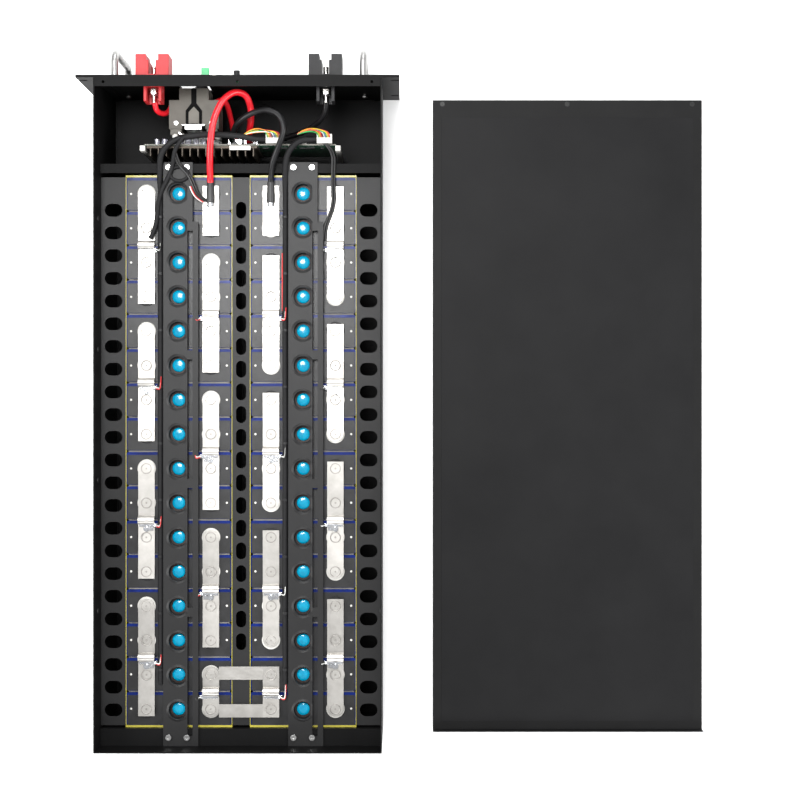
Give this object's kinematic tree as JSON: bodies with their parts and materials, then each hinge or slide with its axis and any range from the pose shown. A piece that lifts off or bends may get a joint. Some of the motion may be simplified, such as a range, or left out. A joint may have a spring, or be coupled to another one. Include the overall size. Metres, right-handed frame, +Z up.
{
  "type": "rack-mount battery module",
  "caption": "Rack-mount battery module shown opened: folded case of prismatic cells, busbars and electronics bay, with its lift-off top cover beside it.",
  "frame": {"origin": "centre of the case's underside, on the surface it stands on", "axes": "+Z up; the front panel faces -Y; the positive terminal is on the +X side"},
  "size_m": [0.9668, 1.0568, 0.177],
  "materials": {
    "black_paint": "satin powder coat",
    "grey_paint": "satin powder coat",
    "cell_wrap": "dark blue film over the can, black lid sheet",
    "zinc_steel": "zinc plated",
    "black_screw": "black oxide",
    "epoxy_board": "glass-epoxy sheet",
    "foam": "foam sheet",
    "spacer": "blue film and foam",
    "terminal_alu": "machined",
    "vent_blue": "glossy film",
    "busbar_alu": "rolled, bright",
    "tinned_copper": "tin plated",
    "circuit_board": "solder resist",
    "heatsink_alu": "anodised",
    "white_nylon": "moulded",
    "breaker_grey": "moulded",
    "toggle_black": "moulded",
    "red_plastic": "moulded",
    "black_plastic": "moulded",
    "nickel": "nickel plated",
    "handle_metal": "satin anodised",
    "green_plastic": "moulded",
    "red_cable": "silicone",
    "black_cable": "silicone"
  },
  "bodies": {
    "case": {"base_liner": "foam", "bms_board": "circuit_board", "bms_connectors": "white_nylon", "bms_heatsink": "heatsink_alu", "bms_standoffs": "white_nylon", "bms_terminals": "tinned_copper", "breaker_body": "breaker_grey", "breaker_rail": "zinc_steel", "bulkhead": "black_paint", "case_tray": "black_paint", "cell_pair_01": "cell_wrap", "cell_pair_02": "cell_wrap", "cell_pair_03": "cell_wrap", "cell_pair_04": "cell_wrap", "cell_pair_05": "cell_wrap", "cell_pair_06": "cell_wrap", "cell_pair_07": "cell_wrap", "cell_pair_08": "cell_wrap", "cell_pair_09": "cell_wrap", "cell_pair_10": "cell_wrap", "cell_pair_11": "cell_wrap", "cell_pair_12": "cell_wrap", "cell_pair_13": "cell_wrap", "cell_pair_14": "cell_wrap", "cell_pair_15": "cell_wrap", "cell_pair_16": "cell_wrap", "cell_spacers": "spacer", "cell_terminals": "terminal_alu", "centre_rib": "black_paint", "clamp_bar_left": "grey_paint", "clamp_bar_right": "grey_paint", "clamp_bar_screws": "zinc_steel", "comms_board": "circuit_board", "dry_contact_connector": "green_plastic", "front_panel": "black_paint", "handle_left": "handle_metal", "handle_right": "handle_metal", "inner_busbars": "busbar_alu", "insulation_boards": "epoxy_board", "link_busbar": "busbar_alu", "negative_busbar": "busbar_alu", "negative_cable": "black_cable", "negative_terminal_block": "black_plastic", "network_jacks": "nickel", "outer_busbars": "busbar_alu", "panel_screws": "zinc_steel", "positive_busbar": "busbar_alu", "positive_cable": "red_cable", "positive_terminal_block": "red_plastic", "rear_shelf": "black_paint", "ring_lugs": "tinned_copper", "sense_harness": "black_cable", "side_bracket_left": "black_paint", "side_bracket_right": "black_paint", "terminal_hardware": "nickel", "vent_films": "vent_blue"},
    "top_cover": {"top_cover": "black_paint", "cover_screws": "black_screw"},
    "breaker_toggle": {"breaker_toggle": "toggle_black"},
    "power_button": {"power_button": "toggle_black"}
  },
  "joints": [
    {"name": "cover_lift_over", "type": "hinge", "parent": "case", "child": "top_cover", "pos_m": [-0.255, 0, 0.0894], "axis": [0, 1, 0], "range_deg": [0, 180]},
    {"name": "breaker_switch", "type": "hinge", "parent": "case", "child": "breaker_toggle", "pos_m": [0.073, -0.497, 0.088], "axis": [0, 0, 1], "range_deg": [0, 80]},
    {"name": "button_press", "type": "slide", "parent": "case", "child": "power_button", "axis": [0, 1, 0], "range_m": [0, 0.002], "stiffness_N_per_m": 400}
  ]
}
